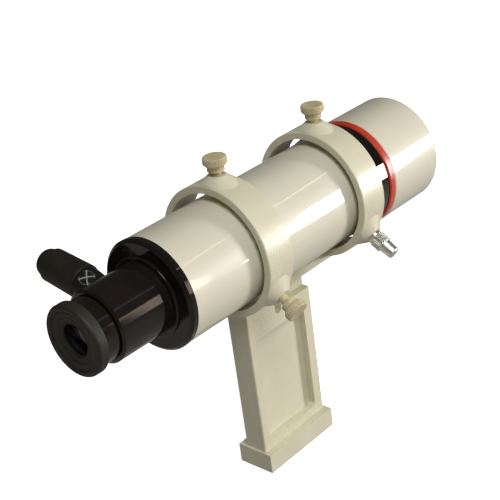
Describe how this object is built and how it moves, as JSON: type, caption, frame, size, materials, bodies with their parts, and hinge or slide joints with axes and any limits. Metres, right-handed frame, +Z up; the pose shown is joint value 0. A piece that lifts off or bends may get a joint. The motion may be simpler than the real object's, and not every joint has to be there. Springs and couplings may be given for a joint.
{
  "type": "finder scope",
  "caption": "Straight-through finder telescope in a two-ring bracket with thumbscrews and a sprung plunger, with rubber eyecup, dew shield and reticle illuminator, on a stalk and foot.",
  "frame": {"origin": "centre of the bracket foot underside", "axes": "+Y along the sight line towards the sky, +X to the right of the observer behind the eyepiece, +Z up from the foot to the telescope"},
  "size_m": [0.1042, 0.2396, 0.1786],
  "materials": {
    "cream_enamel": "gloss",
    "bracket_paint": "satin hammered",
    "black_anodised": "gloss",
    "lining_black": "matte",
    "accent_red": "gloss",
    "cup_rubber": "matte",
    "knob_black": "matte",
    "dial_black": "satin",
    "nylon_ivory": "satin",
    "chromed_steel": "polished",
    "spring_steel": "plain",
    "brass_plain": "plain",
    "cell_steel": "plain",
    "coated_glass": "coated",
    "diode_red": "clear",
    "board_green": "matte"
  },
  "bodies": {
    "bracket": {"bracket": "bracket_paint", "plunger_housing": "chromed_steel", "plunger_lock_nut": "chromed_steel", "plunger_spring": "spring_steel"},
    "telescope": {"main_tube": "cream_enamel", "tube_baffle": "lining_black", "rear_flange": "black_anodised", "objective_cell": "black_anodised", "flint_lens": "coated_glass", "crown_lens": "coated_glass", "objective_retainer": "lining_black", "accent_ring": "accent_red", "dew_shield": "cream_enamel", "shield_lining": "lining_black", "eyepiece_housing": "black_anodised", "reticle_cell": "brass_plain", "reticle_glass": "coated_glass", "reticle_retainer": "brass_plain", "illuminator_neck": "black_anodised", "dial_band": "dial_black", "indicator_diode": "diode_red", "lamp_circuit_board": "board_green", "button_cells": "cell_steel", "battery_spring": "spring_steel"},
    "focus_ring": {"focus_ring": "black_anodised", "eyecup": "cup_rubber"},
    "lens_cell": {"lens_cell": "lining_black", "eye_lens": "coated_glass", "lens_spacer": "lining_black", "field_lens": "coated_glass"},
    "dimmer_knob": {"dimmer_knob": "knob_black"},
    "battery_contact": {"battery_contact": "brass_plain"},
    "battery_cap": {"battery_cap": "knob_black"},
    "plunger_pin": {"plunger_pin": "chromed_steel"},
    "rear_top_pad": {"rear_top_pad": "brass_plain"},
    "rear_top_screw": {"rear_top_screw": "nylon_ivory"},
    "rear_right_pad": {"rear_right_pad": "brass_plain"},
    "rear_right_screw": {"rear_right_screw": "nylon_ivory"},
    "rear_left_pad": {"rear_left_pad": "brass_plain"},
    "rear_left_screw": {"rear_left_screw": "nylon_ivory"},
    "front_top_pad": {"front_top_pad": "brass_plain"},
    "front_top_screw": {"front_top_screw": "nylon_ivory"},
    "front_left_pad": {"front_left_pad": "brass_plain"},
    "front_left_screw": {"front_left_screw": "nylon_ivory"}
  },
  "joints": [
    {"name": "telescope_tilt", "type": "hinge", "parent": "bracket", "child": "telescope", "pos_m": [0, -0.0233, 0.13], "axis": [-0.5299, 0, -0.848], "range_deg": [-0.78, 0.78]},
    {"name": "lens_slide", "type": "slide", "parent": "telescope", "child": "lens_cell", "axis": [0, 1, 0], "range_m": [-0.0012, 0.0012]},
    {"name": "focus_turn", "type": "hinge", "parent": "telescope", "child": "focus_ring", "pos_m": [0, -0.1195, 0.13], "axis": [0, 1, 0], "range_deg": [-181, 181]},
    {"name": "dimmer_turn", "type": "hinge", "parent": "telescope", "child": "dimmer_knob", "pos_m": [0, -0.0897, 0.13], "axis": [-0.9842, 0, 0.1771], "range_deg": [0, 300]},
    {"name": "cap_travel", "type": "slide", "parent": "telescope", "child": "battery_contact", "axis": [-0.9842, 0, 0.1771], "range_m": [0, 0.0045]},
    {"name": "cap_turn", "type": "hinge", "parent": "battery_contact", "child": "battery_cap", "pos_m": [0, -0.0897, 0.13], "axis": [-0.9842, 0, 0.1771], "range_deg": [0, 1625]},
    {"name": "plunger_slide", "type": "slide", "parent": "bracket", "child": "plunger_pin", "axis": [0.848, 0, -0.5299], "range_m": [-0.00101, 0.00101], "deforming": ["plunger_spring"]},
    {"name": "rear_top_travel", "type": "slide", "parent": "bracket", "child": "rear_top_pad", "axis": [0, 0, 1], "range_m": [0, 0.003]},
    {"name": "rear_top_turn", "type": "hinge", "parent": "rear_top_pad", "child": "rear_top_screw", "pos_m": [0, -0.0233, 0.131], "axis": [0, 0, 1], "range_deg": [0, 1355]},
    {"name": "rear_right_travel", "type": "slide", "parent": "bracket", "child": "rear_right_pad", "axis": [0.848, 0, -0.5299], "range_m": [0, 0.003]},
    {"name": "rear_right_turn", "type": "hinge", "parent": "rear_right_pad", "child": "rear_right_screw", "pos_m": [0, -0.0233, 0.131], "axis": [0.848, 0, -0.5299], "range_deg": [0, 1355]},
    {"name": "rear_left_travel", "type": "slide", "parent": "bracket", "child": "rear_left_pad", "axis": [-0.848, 0, -0.5299], "range_m": [0, 0.003]},
    {"name": "rear_left_turn", "type": "hinge", "parent": "rear_left_pad", "child": "rear_left_screw", "pos_m": [0, -0.0233, 0.131], "axis": [-0.848, 0, -0.5299], "range_deg": [0, 1355]},
    {"name": "front_top_travel", "type": "slide", "parent": "bracket", "child": "front_top_pad", "axis": [0, 0, 1], "range_m": [-0.00053, 0.00053]},
    {"name": "front_top_turn", "type": "hinge", "parent": "front_top_pad", "child": "front_top_screw", "pos_m": [0, 0.0506, 0.131], "axis": [0, 0, 1], "range_deg": [-240, 240]},
    {"name": "front_left_travel", "type": "slide", "parent": "bracket", "child": "front_left_pad", "axis": [-0.848, 0, -0.5299], "range_m": [-0.000443, 0.000443]},
    {"name": "front_left_turn", "type": "hinge", "parent": "front_left_pad", "child": "front_left_screw", "pos_m": [0, 0.0506, 0.131], "axis": [-0.848, 0, -0.5299], "range_deg": [-199, 199]}
  ],
  "couplings": [
    {"joint": "focus_turn", "follows": "lens_slide", "rad_per_m": 2618},
    {"joint": "cap_turn", "follows": "cap_travel", "rad_per_m": 6283.2},
    {"joint": "plunger_slide", "follows": "telescope_tilt", "m_per_rad": 0.0739},
    {"joint": "rear_top_turn", "follows": "rear_top_travel", "rad_per_m": 7854},
    {"joint": "rear_right_turn", "follows": "rear_right_travel", "rad_per_m": 7854},
    {"joint": "rear_left_turn", "follows": "rear_left_travel", "rad_per_m": 7854},
    {"joint": "front_top_travel", "follows": "telescope_tilt", "m_per_rad": -0.039161},
    {"joint": "front_top_turn", "follows": "telescope_tilt", "ratio": -307.57},
    {"joint": "front_left_travel", "follows": "telescope_tilt", "m_per_rad": -0.032396},
    {"joint": "front_left_turn", "follows": "telescope_tilt", "ratio": -254.43}
  ]
}
